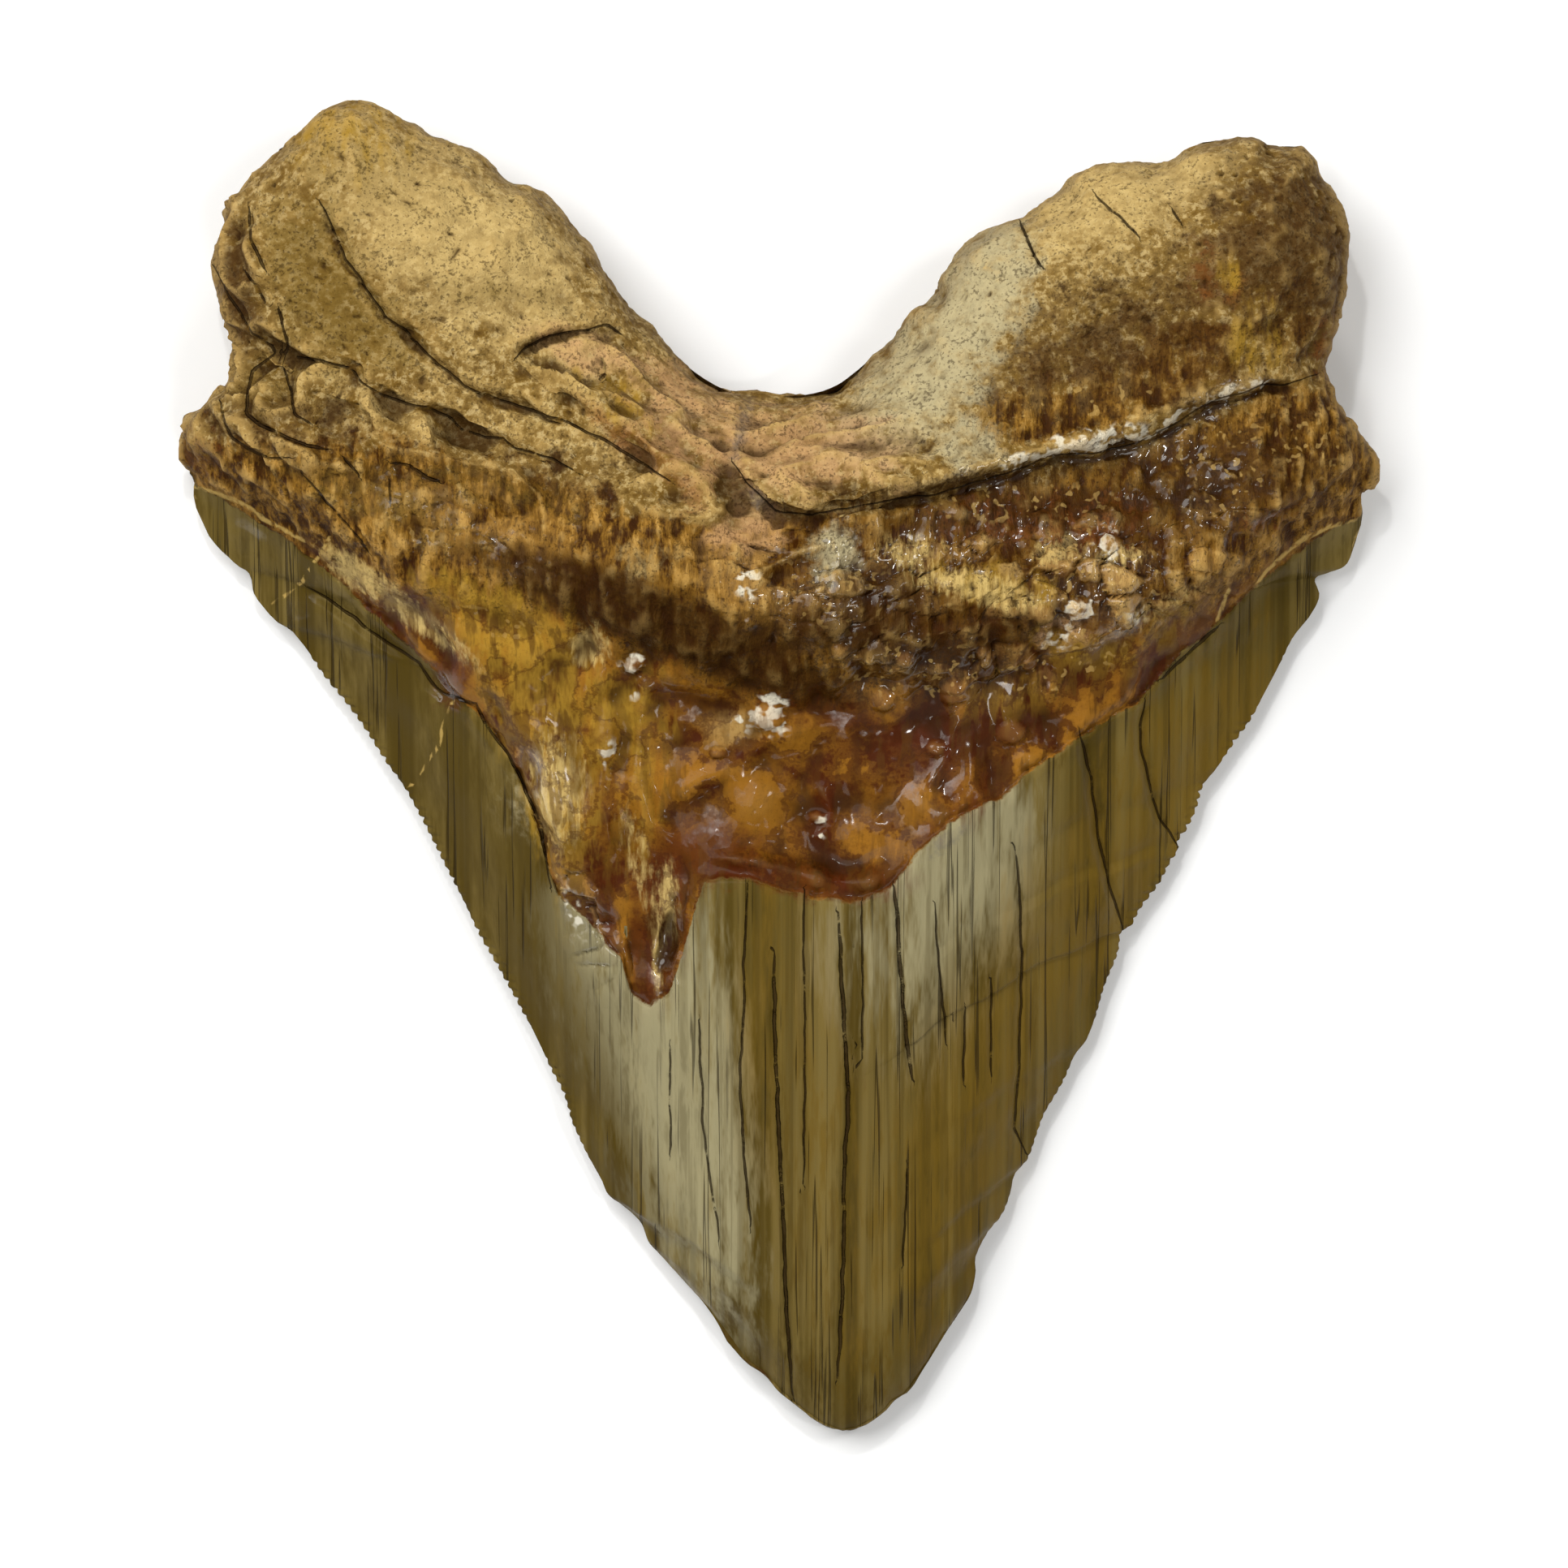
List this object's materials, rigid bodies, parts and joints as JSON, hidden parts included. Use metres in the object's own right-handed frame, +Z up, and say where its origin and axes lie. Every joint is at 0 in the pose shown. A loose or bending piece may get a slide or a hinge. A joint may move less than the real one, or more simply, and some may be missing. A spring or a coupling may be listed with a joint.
{
  "type": "fossil shark tooth",
  "caption": "Fossil tooth of a giant extinct shark: a broad triangular crown with a domed face and a thick forked root with a glossy band between them.",
  "frame": {"origin": "the middle of the outline, on the surface that the tooth lies on", "axes": "+Z up out of the domed face, +Y from the tip of the crown to the lobes of the root, +X across the tooth"},
  "size_m": [0.1036, 0.1148, 0.023],
  "materials": {
    "fossil_tooth": "glossy brown enamel on the crown, dull tan bone on the root, lacquered amber band between"
  },
  "bodies": {
    "root": {"tooth": "fossil_tooth"}
  },
  "joints": []
}
